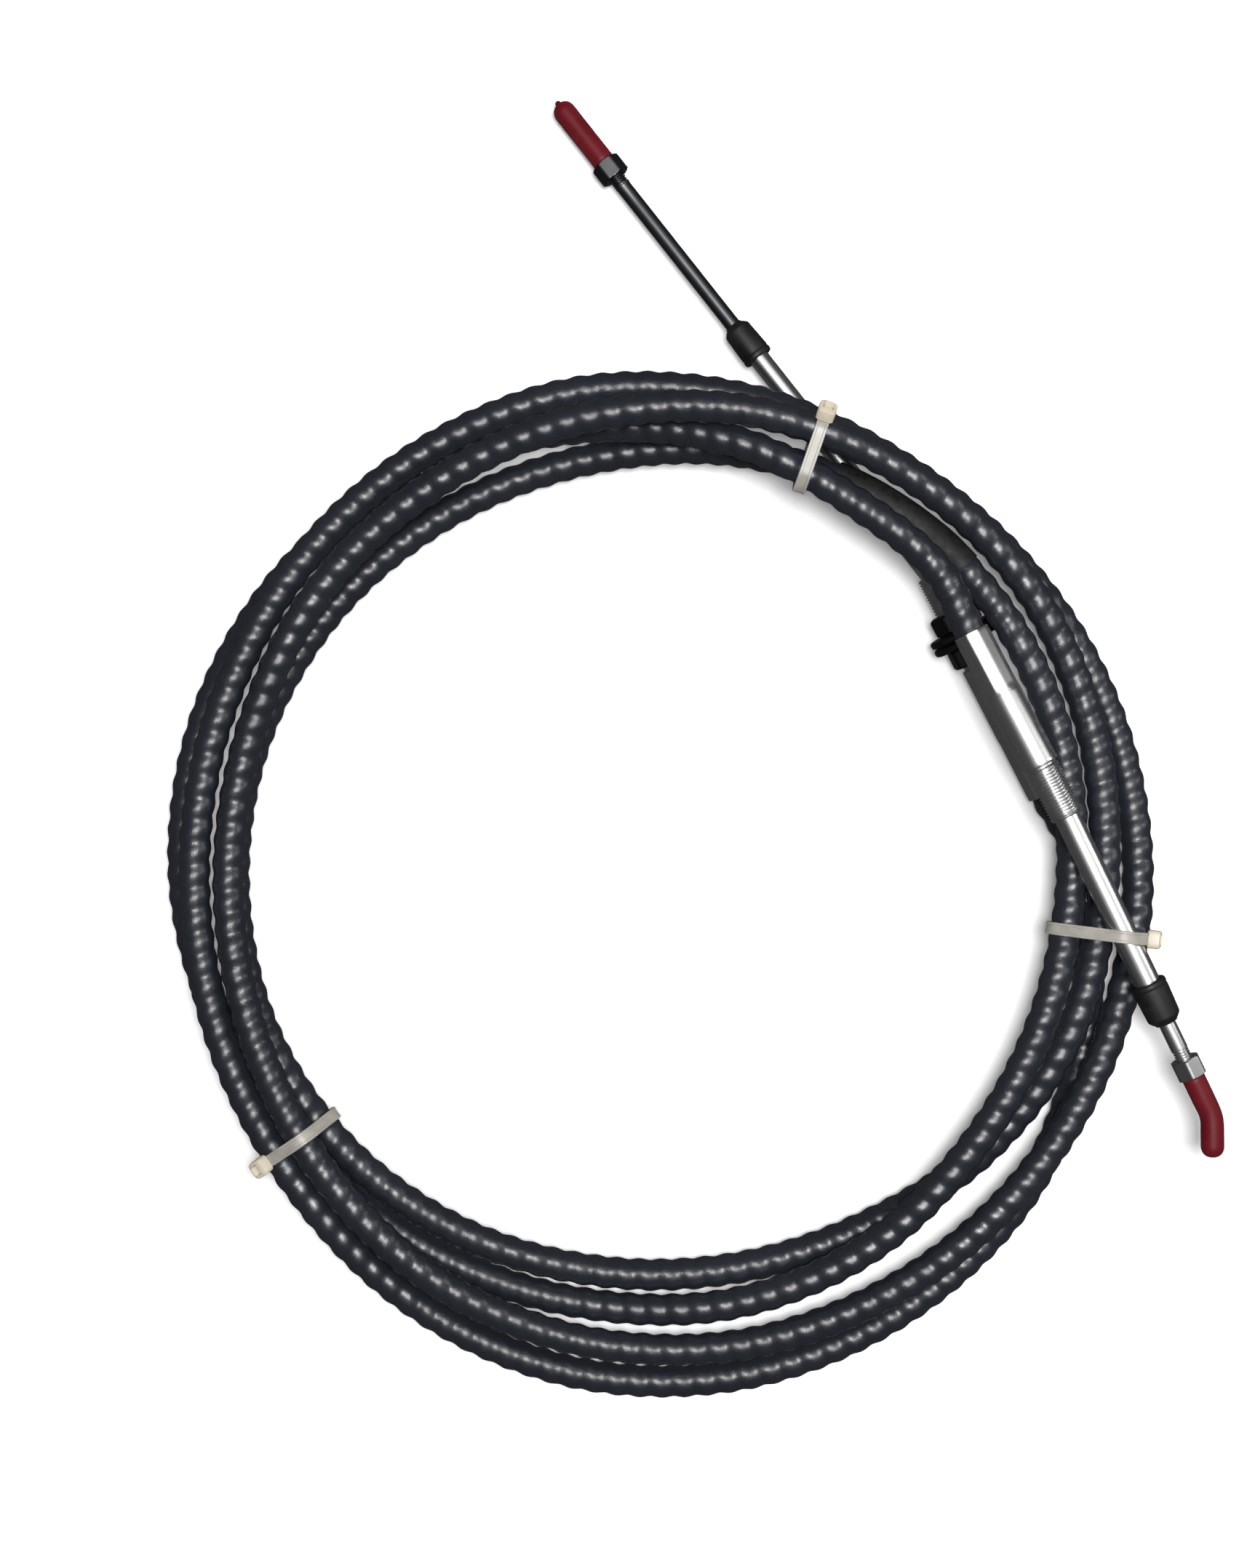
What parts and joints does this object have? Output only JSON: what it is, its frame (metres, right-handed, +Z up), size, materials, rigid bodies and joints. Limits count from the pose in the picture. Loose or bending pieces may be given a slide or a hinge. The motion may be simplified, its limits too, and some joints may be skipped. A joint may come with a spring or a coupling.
{
  "type": "boat steering cable",
  "caption": "Coiled push-pull steering cable with a ribbed jacket, threaded hubs, swivel tubes and sliding threaded rods at both ends.",
  "frame": {"origin": "under the middle of the whole cable's box, on the surface that the coil lies on", "axes": "+Z up out of the coil, +Y along the longest side, from the bottom of the coil towards the end with the two bulkhead nuts"},
  "size_m": [0.4912, 0.6128, 0.064],
  "materials": {
    "jacket_plastic": "semi-gloss ribbed dark blue-grey plastic",
    "sleeve_plastic": "matt black shrink sleeve",
    "stainless_steel": "polished stainless steel",
    "dark_steel": "dull dark plated steel",
    "seal_rubber": "matt black rubber",
    "cap_vinyl": "soft red vinyl",
    "nylon": "natural nylon"
  },
  "bodies": {
    "cable": {"cable_jacket": "jacket_plastic", "black_sleeve": "sleeve_plastic", "crimped_hub_a": "stainless_steel", "swivel_tube_a": "stainless_steel", "rod_seal_a": "seal_rubber", "crimped_hub_b": "stainless_steel", "swivel_tube_b": "stainless_steel", "rod_seal_b": "seal_rubber", "bulkhead_nut_outer": "dark_steel", "bulkhead_washer_outer": "dark_steel", "bulkhead_washer_inner": "dark_steel", "bulkhead_nut_inner": "dark_steel", "tie_top": "nylon", "tie_right": "nylon", "tie_left": "nylon"},
    "rod_a": {"push_rod_a": "stainless_steel", "rod_nut_a": "dark_steel", "end_cap_a": "cap_vinyl"},
    "rod_b": {"push_rod_b": "stainless_steel", "rod_nut_b": "dark_steel", "end_cap_b": "cap_vinyl"}
  },
  "joints": [
    {"name": "rod_a_slide", "type": "slide", "parent": "cable", "child": "rod_a", "axis": [0.4397, -0.8975, -0.0349], "range_m": [0, 0.068]},
    {"name": "rod_b_slide", "type": "slide", "parent": "cable", "child": "rod_b", "axis": [-0.6153, 0.7875, -0.0349], "range_m": [-0.068, 0]}
  ],
  "couplings": [
    {"joint": "rod_b_slide", "follows": "rod_a_slide", "ratio": -1}
  ]
}
